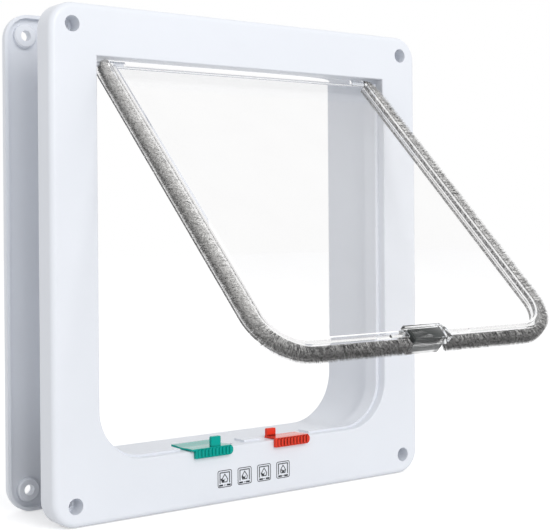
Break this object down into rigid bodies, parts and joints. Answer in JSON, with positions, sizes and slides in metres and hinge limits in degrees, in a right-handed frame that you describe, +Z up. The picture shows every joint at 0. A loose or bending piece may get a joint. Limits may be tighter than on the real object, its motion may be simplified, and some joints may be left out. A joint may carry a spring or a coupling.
{
  "type": "cat flap",
  "caption": "Two-part telescoping frame for a door, with a clear swinging pet flap edged in brush pile, a magnet catch at its foot and two sliding locks in the sill.",
  "frame": {"origin": "midway between the four front screw holes, in the plane where the front frame's rim bears on the door", "axes": "+X to the right seen from the front, +Y through the door towards the rear frame, +Z up"},
  "size_m": [0.234, 0.188, 0.25],
  "materials": {
    "white_plastic": "smooth moulded white plastic with a soft sheen",
    "clear_plastic": "clear polished plastic",
    "grey_pile": "dense grey brush pile",
    "ferrite": "dark sintered ferrite, matt",
    "green_plastic": "glossy teal green plastic",
    "red_plastic": "glossy orange-red plastic"
  },
  "bodies": {
    "front": {"front_frame": "white_plastic", "frame_magnet": "ferrite", "magnet_cover": "white_plastic", "hinge_pin_left": "white_plastic", "hinge_pin_right": "white_plastic"},
    "rear": {"rear_frame": "white_plastic"},
    "flap": {"flap_panel": "clear_plastic", "pile_left": "grey_pile", "pile_right": "grey_pile", "magnet_box_front": "clear_plastic", "magnet_box_rear": "clear_plastic", "flap_magnet": "ferrite"},
    "green_slider": {"green_lock": "green_plastic"},
    "red_slider": {"red_lock": "red_plastic"}
  },
  "joints": [
    {"name": "flap_hinge", "type": "hinge", "parent": "front", "child": "flap", "pos_m": [0, -0.006, 0.097], "axis": [1, 0, 0], "range_deg": [-28.8, 121.2]},
    {"name": "green_slide", "type": "slide", "parent": "front", "child": "green_slider", "axis": [1, 0, 0], "range_m": [-0.002, 0.013]},
    {"name": "red_slide", "type": "slide", "parent": "front", "child": "red_slider", "axis": [1, 0, 0], "range_m": [-0.0054, 0.006]},
    {"name": "frame_slide", "type": "slide", "parent": "front", "child": "rear", "axis": [0, 1, 0], "range_m": [-0.0055, 0.0015]}
  ]
}
